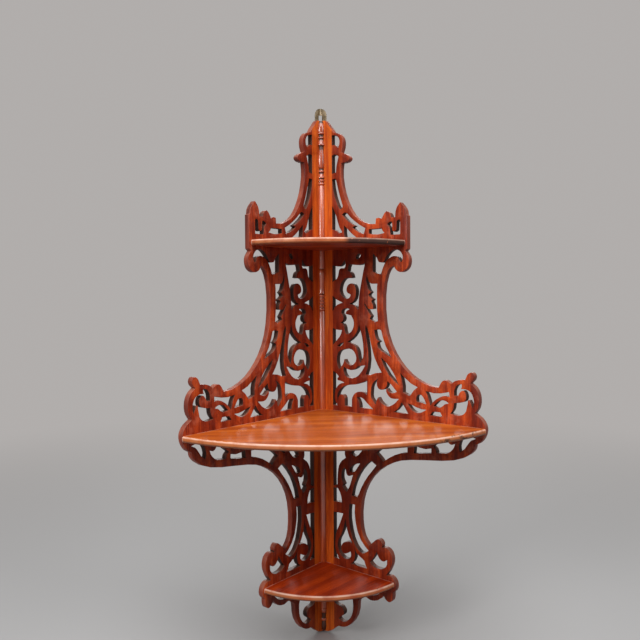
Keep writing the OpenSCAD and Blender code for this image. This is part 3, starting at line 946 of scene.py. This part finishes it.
@dataclass
class BowShelf:
    """A shelf with a bowed, rounded front, whose stain grows along X over a band."""

    node: str
    pale: Colour
    mid: Colour
    dark: Colour
    turn: float
    stain: float
    stain_along: Band
    polish: float = 0.12
    polish_rough: float = 0.3

    def bow(self) -> tuple[float, float]:
        """Works out the circle of the front edge from the CAD box.

        Returns:
            The Y of its centre, and its radius.
        """
        low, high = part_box(self.node)
        # A tip of the shelf lies as far forward of the corner as it lies to the side
        half_chord = high.x
        rise = high.y - half_chord - low.y
        radius = (half_chord**2 + rise**2) / (2 * rise)
        return low.y + radius, radius

    def build(self) -> bpy.types.Object:
        """Makes the shelf.

        Returns:
            The finished piece.
        """
        piece = cut_from(self.node, f"{self.node}_polished")
        smooth(piece)
        centre_y, radius = self.bow()
        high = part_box(self.node)[1]
        finish = ShelfMahogany(
            f"{self.node}_mahogany",
            pale=self.pale,
            mid=self.mid,
            dark=self.dark,
            grain=Grain.CROSSWISE,
            turn=self.turn,
            bow_centre=centre_y,
            bow_radius=radius,
            corner=high.y,
            top=high.z,
            stain=self.stain,
            stain_along=self.stain_along,
            ribbon=26 * MM,
            streak=3 * MM,
            wander=12 * MM,
            rough=0.5,
            polish=self.polish,
            polish_rough=self.polish_rough,
            gloss=0.14,
        )
        dress(piece, [finish.material()])
        hand_over(piece)
        return piece


SHELVES = (
    BowShelf(
        "top_shelf",
        pale=(0.5, 0.1, 0.02),
        mid=(0.36, 0.055, 0.012),
        dark=(0.18, 0.022, 0.006),
        turn=0.03,
        stain=1.0,
        stain_along=(20 * MM, 35 * MM),
    ),
    BowShelf(
        "middle_shelf",
        pale=(0.6, 0.15, 0.019),
        mid=(0.48, 0.095, 0.0105),
        dark=(0.34, 0.055, 0.006),
        turn=-0.04,
        stain=0.25,
        stain_along=(100 * MM, 200 * MM),
        polish=0.19,
        polish_rough=0.22,
    ),
    BowShelf(
        "bottom_shelf",
        pale=(0.56, 0.06, 0.004),
        mid=(0.39, 0.032, 0.0024),
        dark=(0.22, 0.015, 0.0016),
        turn=-0.75,
        stain=0.2,
        stain_along=(0.0, 100 * MM),
        polish=0.04,
    ),
)


@dataclass(frozen=True)
class Ring:
    """A half-round ring of a turned part, in millimetres above its foot."""

    foot: float
    high: float
    radius: float = 10.1
    root: float = 8.0
    steps: int = 8

    def outline(self) -> list[Station]:
        """Draws the ring.

        Returns:
            Radius and height of each station from the foot up.
        """
        swell, half = self.radius - self.root, self.high / 2
        middle = self.foot + half
        turns = [math.pi * step / self.steps for step in range(self.steps + 1)]
        return [(self.root + swell * math.sin(turn), middle - half * math.cos(turn)) for turn in turns]


@dataclass(frozen=True)
class Sweep:
    """A smooth stretch of a turned part through chosen points, in millimetres above its foot."""

    points: tuple[Station, ...]
    steps: int = 4

    def outline(self) -> list[Station]:
        """Draws the stretch.

        Returns:
            Radius and height of each station from the foot up.
        """
        ended = (self.points[0], *self.points, self.points[-1])
        found = []
        for around in zip(ended, ended[1:], ended[2:], ended[3:]):
            for step in range(self.steps):
                share = step / self.steps
                found.append(tuple(self.between(values, share) for values in zip(*around)))
        return [*found, self.points[-1]]

    @staticmethod
    def between(around: tuple[float, ...], share: float) -> float:
        """Finds a value on the smooth curve between the second and third of four values.

        Args:
            around: The four values.
            share: How far along, from 0 to 1.

        Returns:
            The value.
        """
        a, b, c, d = around
        bent = 2 * a - 5 * b + 4 * c - d + (3 * b - a - 3 * c + d) * share
        return b + ((c - a) * share + bent * share**2) / 2


# Turnings, as radius and height above the foot in millimetres

UPPER_TOP = 143.5
MIDDLE_TOP = 133.0

UPPER_TURNING = (
    Ring(3.3, 5.2),
    Ring(11.1, 5.0),
    Sweep(((7.5, 16.4), (7.2, 17.4), (7.5, 18.5))),
    Sweep(((10.0, 18.9), (10.0, 20.2), (9.6, 22.2), (8.6, 25.0), (7.9, 28.0))),
    Sweep(((7.3, 28.5), (7.0, 29.9), (7.4, 31.2))),
    Ring(31.4, 4.2, 9.4),
    Sweep(((7.6, 36.0), (7.3, 38.3), (8.3, 41.0))),
    Sweep(((9.2, 42.0), (10.0, 48.5), (10.1, 56.5), (9.4, 67.5), (8.0, 78.5), (6.9, 86.5))),
    Sweep(((7.2, 87.3), (7.0, 88.4), (7.3, 89.6))),
    Sweep(((10.1, 89.9), (10.1, 91.4), (9.6, 94.0), (8.6, 97.5), (7.8, 101.5))),
    Sweep(((7.2, 102.0), (7.0, 103.1), (7.2, 104.2))),
    Ring(104.4, 3.6, 9.3),
    Sweep(((7.2, 108.3), (6.9, 110.6), (7.2, 113.0))),
    Ring(113.2, 4.8, 10.2, 9.0),
    Sweep(
        (
            (9.3, 118.3), (9.6, 122.0), (9.5, 128.0), (9.0, 132.5),
            (8.0, 136.8), (6.3, 140.8), (4.2, 142.8), (2.0, UPPER_TOP),
        )
    ),
)
MIDDLE_TURNING = (
    *(Ring(2.4 + 7.4 * number, 5.0) for number in range(5)),
    Sweep(((7.8, 37.4), (7.5, 38.3), (7.9, 39.1))),
    Sweep(
        (
            (9.6, 39.4), (9.2, 41.8), (8.3, 49.0), (8.3, 58.0),
            (9.1, 68.0), (10.0, 79.0), (9.7, 86.0), (8.5, 92.0),
        )
    ),
    Sweep(((7.8, 92.5), (7.6, 93.2), (7.9, 93.7))),
)
DROP_TURNING = (
    Sweep(
        (
            (1.5, 0.0), (4.0, 0.8), (6.0, 3.2), (7.2, 7.0),
            (7.5, 11.5), (7.1, 16.0), (6.4, 20.5), (6.2, 22.0),
        )
    ),
    Ring(22.3, 7.0, 8.5, 6.8),
    Sweep(((6.4, 29.6), (6.6, 34.0), (7.4, 40.0), (8.7, 44.3))),
    Ring(47.0, 4.8, 10.0),
)


@dataclass
class Spindle:
    """One length of the turned column, quartered to fit the inner corner.

    Its turning starts at the foot, and a plain rod fills what the turning leaves free.
    """

    node: str
    turning: tuple[Ring | Sweep, ...] = ()
    foot: float = 0.0
    rod: float = 9.5 * MM
    free: float = 1 * MM
    step_below: float = 2.4 * MM
    step_above: float = 0.4 * MM
    facets: int = 72
    crease: float = 34.0

    def stations(self) -> list[Station]:
        """Lists the outline from the foot up.

        Returns:
            Radius and height of each station, in metres.
        """
        low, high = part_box(self.node)
        bottom, top = (self.rod, low.z), (self.rod, high.z)
        outline = [station for part in self.turning for station in part.outline()]
        turned = [(radius * MM, self.foot + height * MM) for radius, height in outline]
        if not turned:
            return [bottom, top]
        start, end = turned[0][1], turned[-1][1]
        below = [bottom, (self.rod, start - self.step_below)] if start > low.z + self.free else []
        above = [(self.rod, end + self.step_above), top] if end < high.z - self.free else []
        return [*below, *turned, *above]

    def build(self, material: bpy.types.Material) -> bpy.types.Object:
        """Turns the length and quarters it.

        Args:
            material: The wood's finish.

        Returns:
            The finished piece.
        """
        axis = Vector((0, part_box(self.node)[1].y, 0))
        (radius, height), *rest = self.stations()
        centre = (axis.x, axis.y, height)
        deselect()
        bpy.ops.mesh.primitive_circle_add(
            vertices=self.facets, radius=radius, fill_type="NGON", location=centre
        )
        piece = bpy.context.object
        piece.name = piece.data.name = f"{self.node}_turned"
        bpy.ops.object.transform_apply(location=True, rotation=True, scale=True)
        bpy.ops.object.mode_set(mode="EDIT")
        bpy.ops.mesh.select_all(action="SELECT")
        for next_radius, next_height in rest:
            rise = (0, 0, next_height - height)
            bpy.ops.mesh.extrude_region_move(TRANSFORM_OT_translate={"value": rise})
            ratio = next_radius / radius
            centre = (axis.x, axis.y, next_height)
            bpy.ops.transform.resize(value=(ratio, ratio, 1), center_override=centre)
            radius, height = next_radius, next_height
        for side in (-1, 1):
            bpy.ops.mesh.select_all(action="SELECT")
            bpy.ops.mesh.bisect(plane_co=axis, plane_no=(side, 1, 0), use_fill=True, clear_outer=True)
        bpy.ops.mesh.select_all(action="SELECT")
        bpy.ops.mesh.remove_doubles(threshold=WELD)
        bpy.ops.mesh.normals_make_consistent(inside=False)
        bpy.ops.object.mode_set(mode="OBJECT")
        smooth(piece, self.crease)
        dress(piece, [material])
        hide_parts(self.node)
        hand_over(piece)
        return piece


@dataclass
class Column:
    """The turned column in the inner corner: four lengths with one finish.

    The upper and the middle turning hang down from the top of their lengths.
    """

    upper_drop: float = UPPER_TOP * MM
    middle_drop: float = MIDDLE_TOP * MM

    def finish(self) -> TurnedMahogany:
        """Chooses the wood and its polish.

        Returns:
            The finish of every length.
        """
        return TurnedMahogany(
            "spindle_mahogany",
            axis_y=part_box("lower_spindle")[1].y,
            pale=(0.58, 0.11, 0.018),
            mid=(0.41, 0.06, 0.01),
            dark=(0.2, 0.026, 0.006),
            ribbon=9 * MM,
            rough=0.28,
            polish=1.0,
            polish_rough=0.18,
            coat_ior=1.6,
            gloss=0.4,
        )

    def lengths(self) -> tuple[Spindle, ...]:
        """Lists the lengths from the top down.

        Returns:
            The lengths, each with its turning at its own height.
        """
        upper_top, middle_top = (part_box(node)[1].z for node in ("upper_spindle", "middle_spindle"))
        return (
            Spindle("upper_spindle", UPPER_TURNING, upper_top - self.upper_drop),
            Spindle("middle_spindle", MIDDLE_TURNING, middle_top - self.middle_drop),
            Spindle("lower_spindle"),
            Spindle("pendant_spindle", DROP_TURNING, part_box("pendant_spindle")[0].z),
        )

    def build(self) -> None:
        """Turns every length."""
        material = self.finish().material()
        for length in self.lengths():
            length.build(material)


@dataclass
class Hanger:
    """The brass plate, folded down the corner, with its slot above the crest.

    The fold is rounded wide on the room's side and narrow on the walls' side, which is the
    one within wall_side of the corner. Edges within slack of a line count as lying on it.
    """

    node: str = "hanger_plate"
    fold_in: float = 4.6 * MM
    fold_out: float = 1.2 * MM
    fold_steps: int = 6
    fold_reach: float = 1.25 * MM
    arris: float = 0.25 * MM
    arris_steps: int = 2
    wall_side: float = 0.5 * MM
    slack: float = 0.01 * MM
    top_edge: float = 1 * MM

    def build(self) -> bpy.types.Object:
        """Makes the plate.

        Returns:
            The finished piece.
        """
        piece = cut_from(self.node, f"{self.node}_folded")
        for outside, width in ((True, self.fold_out), (False, self.fold_in)):
            bevel_edges(piece, width, self.fold_steps, lambda *edge: self.on_fold(outside, *edge))
        bevel_edges(piece, self.arris, self.arris_steps, self.off_fold_top)
        smooth(piece)
        dress(piece, [OldBrass().material()])
        hand_over(piece)
        return piece

    def on_fold(self, outside: bool, sharp: bool, first: Vector, second: Vector) -> bool:
        """Tells whether an edge is the fold itself.

        Args:
            outside: Whether the side towards the walls is meant.
            sharp: Whether the edge is sharp.
            first: One end of the edge.
            second: The other end.

        Returns:
            Whether it is.
        """
        centred = max(abs(first.x), abs(second.x)) < self.slack
        upright = abs(first.y - second.y) < self.slack
        return sharp and centred and upright and (abs(first.y) < self.wall_side) == outside

    def off_fold_top(self, sharp: bool, *ends: Vector) -> bool:
        """Tells whether an edge is sharp and clear of the fold's top end.

        Args:
            sharp: Whether the edge is sharp.
            ends: Both ends of the edge.

        Returns:
            Whether it is.
        """
        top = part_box(self.node)[1].z - self.top_edge
        return sharp and not any(abs(end.x) < self.fold_reach and end.z > top for end in ends)


@dataclass
class Screws:
    """All the screws, which keep their CAD shapes."""

    hanger_node: str = "hanger_screws"

    def dress(self) -> None:
        """Gives the hanger's screws brass and all others steel."""
        brass, steel = OldBrass("old_brass_screws").material(), ScrewSteel().material()
        for name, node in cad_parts.items():
            if "screws" not in name:
                continue
            for slot in node.material_slots:
                slot.material = brass if name == self.hanger_node else steel
            log.info("%s: CAD shape", name)


# Studio


@dataclass(frozen=True)
class Lamp:
    """A square soft lamp that points at the shelf."""

    name: str
    place: tuple[float, float, float]
    size: float
    power: float
    colour: Colour = (1.0, 1.0, 1.0)

    def hang(self, target: Vector) -> None:
        """Adds the lamp.

        Args:
            target: Where it points.
        """
        data = bpy.data.lights.new(self.name, "AREA")
        data.shape = "SQUARE"
        data.size = self.size
        data.energy = self.power
        data.color = self.colour
        lamp = bpy.data.objects.new(self.name, data)
        lamp.location = self.place
        lamp.rotation_euler = (target - Vector(self.place)).to_track_quat("-Z", "Y").to_euler()
        lamp.visible_camera = False
        bpy.context.scene.collection.objects.link(lamp)


@dataclass(frozen=True)
class Studio:
    """A pale floor that fades into an even, pale surround, with soft lamps."""

    floor_reach: float = 14.0
    floor_facets: int = 64
    floor_drop: float = 2 * MM
    floor_colour: Colour = (0.46, 0.45, 0.445)
    floor_bounce: Colour = (0.16, 0.15, 0.15)
    backdrop: Colour = (0.44, 0.42, 0.41)
    ambient: Colour = (0.075, 0.075, 0.075)
    fade_from: float = 0.5
    fade_to: float = 3.0
    lamps: tuple[Lamp, ...] = (
        Lamp("sky_lamp", (-0.2, -1.6, 2.0), 2.4, 90.0, (0.97, 0.985, 1.0)),
        Lamp("key_lamp", (-2.1, -2.3, 0.6), 0.9, 38.0),
        Lamp("fill_lamp", (2.2, -2.1, 1.2), 1.6, 30.0),
        Lamp("back_lamp", (0.4, 2.8, 0.6), 1.8, 32.0),
        Lamp("low_lamp", (-1.2, -2.3, -0.9), 1.6, 6.5),
    )

    def build(self) -> None:
        """Makes the floor, the surround and the lamps."""
        low, high = cad_bounds
        deselect()
        centre = (0, 0, low.z - self.floor_drop)
        bpy.ops.mesh.primitive_circle_add(
            vertices=self.floor_facets, radius=self.floor_reach, fill_type="NGON", location=centre
        )
        floor = bpy.context.object
        floor.name = "floor"
        floor.data.materials.append(self.floor_material())
        world = Graph.of_world("surround")
        world.set(Color=world.mix(self.seen(world), self.ambient, self.backdrop))
        bpy.context.scene.world = world.owner
        for lamp in self.lamps:
            lamp.hang((low + high) / 2)

    @staticmethod
    def seen(graph: Graph) -> Value:
        """Tells what the camera or a polished face sees from what lights the object.

        Args:
            graph: The graph of the floor or the world.

        Returns:
            1 or more where it is seen, and otherwise 0.
        """
        kinds = ("Is Camera Ray", "Is Glossy Ray", "Is Transmission Ray")
        camera, glossy, through = (graph.node("ShaderNodeLightPath", output=kind) for kind in kinds)
        return camera + glossy + through

    def floor_material(self) -> bpy.types.Material:
        """Makes the floor's plain finish, which fades into the surround far away.

        Returns:
            The material.
        """
        graph = Graph.of_material("pale_floor")
        tint = graph.mix(self.seen(graph), self.floor_bounce, self.floor_colour)
        graph.set(Base_Color=tint, Roughness=0.9, Specular_IOR_Level=0.1)
        away = graph.rise(graph.reach(graph.place()), self.fade_from, self.fade_to)
        glow = graph.node("ShaderNodeEmission", inputs={"Color": self.backdrop})
        near = Value(graph, graph.shader.outputs[0])
        blend = graph.node("ShaderNodeMixShader", inputs={0: away * self.seen(graph), 1: near, 2: glow})
        graph.feed(graph.tree.nodes["Material Output"].inputs["Surface"], blend)
        return graph.owner


@dataclass(frozen=True)
class Viewpoint:
    """The camera at the photograph's viewing angle."""

    place: tuple[float, float, float] = (-0.1433, -1.51, -0.4069)
    pan: float = -0.0957
    tilt: float = 0.0288
    roll: float = -0.0058
    focal_px: float = 681.39
    frame_px: float = 640.0
    centre_px: float = 322.0
    sensor: float = 36.0

    def set_up(self) -> None:
        """Makes the camera and the plain view settings."""
        data = bpy.data.cameras.new("viewpoint")
        data.sensor_fit = "HORIZONTAL"
        data.sensor_width = self.sensor
        data.lens = self.focal_px / self.frame_px * self.sensor
        data.shift_x = (self.frame_px / 2 - self.centre_px) / self.frame_px
        camera = bpy.data.objects.new("viewpoint", data)
        turn = Matrix.Rotation(self.pan, 3, "Z") @ Matrix.Rotation(math.pi / 2 - self.tilt, 3, "X")
        camera.rotation_euler = (turn @ Matrix.Rotation(self.roll, 3, "Z")).to_euler()
        camera.location = self.place
        bpy.context.scene.collection.objects.link(camera)
        bpy.context.scene.camera = camera
        bpy.context.scene.view_settings.view_transform = "Standard"


def main() -> None:
    """Builds the pieces, the studio and the camera."""
    logging.basicConfig(level=logging.INFO, format="%(name)s: %(message)s")
    for wall in Wall:
        FretPanel(wall).build()
    for shelf in SHELVES:
        shelf.build()
    Column().build()
    Hanger().build()
    Screws().dress()
    Studio().build()
    Viewpoint().set_up()


if __name__ == "__main__":
    main()
